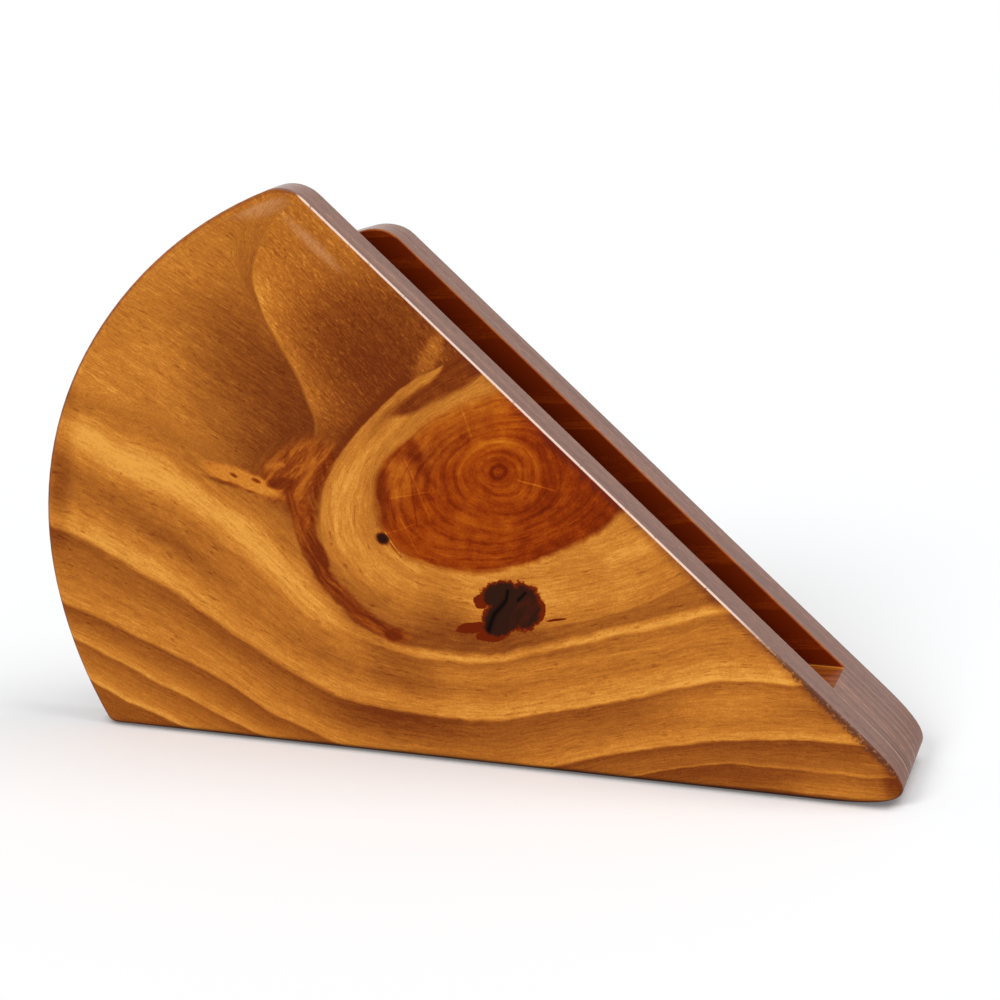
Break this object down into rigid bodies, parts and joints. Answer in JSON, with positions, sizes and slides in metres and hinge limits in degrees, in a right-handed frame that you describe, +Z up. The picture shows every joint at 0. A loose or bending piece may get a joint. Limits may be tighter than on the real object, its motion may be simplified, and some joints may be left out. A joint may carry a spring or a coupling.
{
  "type": "napkin holder",
  "caption": "Upright wooden napkin holder: two sector-shaped side boards with an open slot between them, sloping down to a pointed toe.",
  "frame": {"origin": "under the middle of the holder's length and width, on the surface that it stands on", "axes": "+X along the base to the pointed toe, +Y from the larger front board to the smaller back board, +Z up"},
  "size_m": [0.2024, 0.0346, 0.1296],
  "materials": {
    "stained_board": "stained pine under satin lacquer",
    "stained_block": "stained pine under satin lacquer",
    "bare_dowel": "bare beech"
  },
  "bodies": {
    "root": {"front_side_board": "stained_board", "back_side_board": "stained_board", "base_block": "stained_block", "heel_dowel_pin": "bare_dowel", "toe_dowel_pin": "bare_dowel"}
  },
  "joints": []
}
